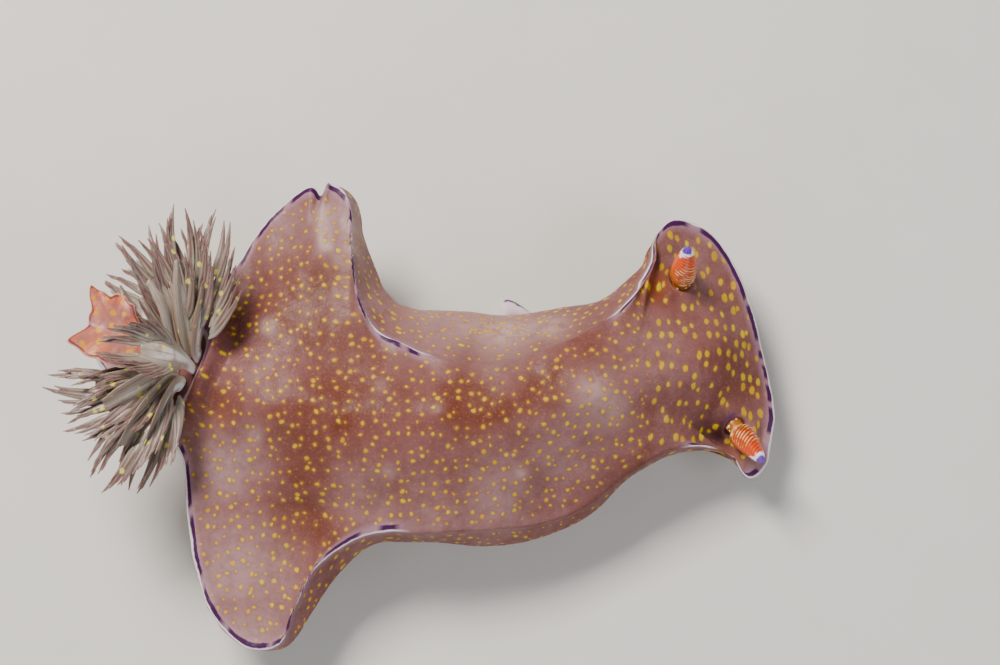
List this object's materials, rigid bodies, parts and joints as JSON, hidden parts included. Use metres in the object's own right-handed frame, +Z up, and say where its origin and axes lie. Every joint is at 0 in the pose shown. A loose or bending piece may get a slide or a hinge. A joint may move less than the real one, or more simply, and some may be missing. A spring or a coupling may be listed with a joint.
{
  "type": "nudibranch",
  "caption": "Life-size still model of a crawling nudibranch with a frilled mantle, side lobes, feathery gills, a lobed horn and two rhinophores.",
  "frame": {"origin": "centre of the whole animal's box, on the level of the sole", "axes": "+X towards the head, +Y towards the animal's left, +Z up from the sole"},
  "size_m": [0.1172, 0.0752, 0.0403],
  "materials": {
    "mantle_skin": "wet soft skin, mauve pink mottled with red brown, small yellow spots and a broken purple edge line",
    "foot_skin": "wet soft skin, pale pink with a white rim and purple marks",
    "horn_skin": "wet soft skin, pink orange with yellow spots and a dark red edge line",
    "gill_tissue": "wet translucent tissue, grey white with maroon lines and pale yellow dots",
    "rhinophore_tissue": "wet soft leaves, orange with pale marks and a violet tip"
  },
  "bodies": {
    "root": {"head": "mantle_skin", "trunk_front": "mantle_skin", "trunk_rear": "mantle_skin", "lobe_left": "mantle_skin", "lobe_right": "mantle_skin", "oral_tentacle_left": "mantle_skin", "oral_tentacle_right": "mantle_skin", "foot": "foot_skin", "tail": "foot_skin", "horn": "horn_skin", "gill_1": "gill_tissue", "gill_2": "gill_tissue", "gill_3": "gill_tissue", "gill_4": "gill_tissue", "gill_5": "gill_tissue", "gill_6": "gill_tissue", "gill_7": "gill_tissue", "gill_8": "gill_tissue", "gill_9": "gill_tissue", "gill_10": "gill_tissue", "rhinophore_left": "rhinophore_tissue", "rhinophore_right": "rhinophore_tissue"}
  },
  "joints": []
}
